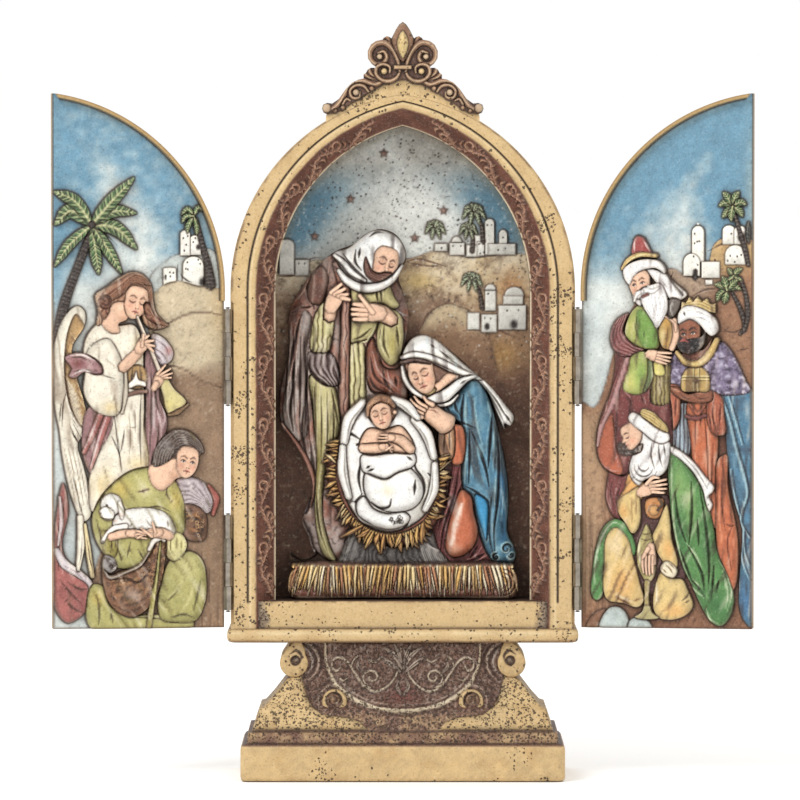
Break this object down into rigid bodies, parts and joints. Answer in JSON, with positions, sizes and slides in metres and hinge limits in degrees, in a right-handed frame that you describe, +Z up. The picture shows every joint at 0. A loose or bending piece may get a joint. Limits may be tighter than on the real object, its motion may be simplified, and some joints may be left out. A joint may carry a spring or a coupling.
{
  "type": "triptych altarpiece",
  "caption": "Arched cabinet shrine on a moulded pedestal, with a carved nativity group in its niche and hinged relief-carved wings that close over it.",
  "frame": {"origin": "centre of the plinth's underside", "axes": "+Z up through the crest, -Y out of the front of the niche, +X to the viewer's right"},
  "size_m": [0.279, 0.0667, 0.3014],
  "materials": {
    "cabinet_paint": "cast resin painted ochre gold, pitted and dark-washed, with brown carved bands",
    "figure_paint": "cast resin figures painted in matt colours with dark wash in the folds",
    "wing_paint": "cast resin low relief painted in matt colours with dark wash in the folds",
    "hinge_nickel": "darkened nickel-plated steel"
  },
  "bodies": {
    "cabinet": {"cabinet": "cabinet_paint", "holy_family": "figure_paint", "hinge_left_lower_cabinet_leaf": "hinge_nickel", "hinge_left_lower_pin": "hinge_nickel", "hinge_left_upper_cabinet_leaf": "hinge_nickel", "hinge_left_upper_pin": "hinge_nickel", "hinge_right_lower_cabinet_leaf": "hinge_nickel", "hinge_right_lower_pin": "hinge_nickel", "hinge_right_upper_cabinet_leaf": "hinge_nickel", "hinge_right_upper_pin": "hinge_nickel"},
    "wing_left": {"wing_left": "wing_paint", "hinge_left_lower_wing_leaf": "hinge_nickel", "hinge_left_upper_wing_leaf": "hinge_nickel"},
    "wing_right": {"wing_right": "wing_paint", "hinge_right_lower_wing_leaf": "hinge_nickel", "hinge_right_upper_wing_leaf": "hinge_nickel"}
  },
  "joints": [
    {"name": "wing_left_hinge", "type": "hinge", "parent": "cabinet", "child": "wing_left", "pos_m": [-0.06955, -0.022, 0], "axis": [0, 0, 1], "range_deg": [-10, 170]},
    {"name": "wing_right_hinge", "type": "hinge", "parent": "cabinet", "child": "wing_right", "pos_m": [0.06955, -0.022, 0], "axis": [0, 0, -1], "range_deg": [-10, 170]}
  ]
}
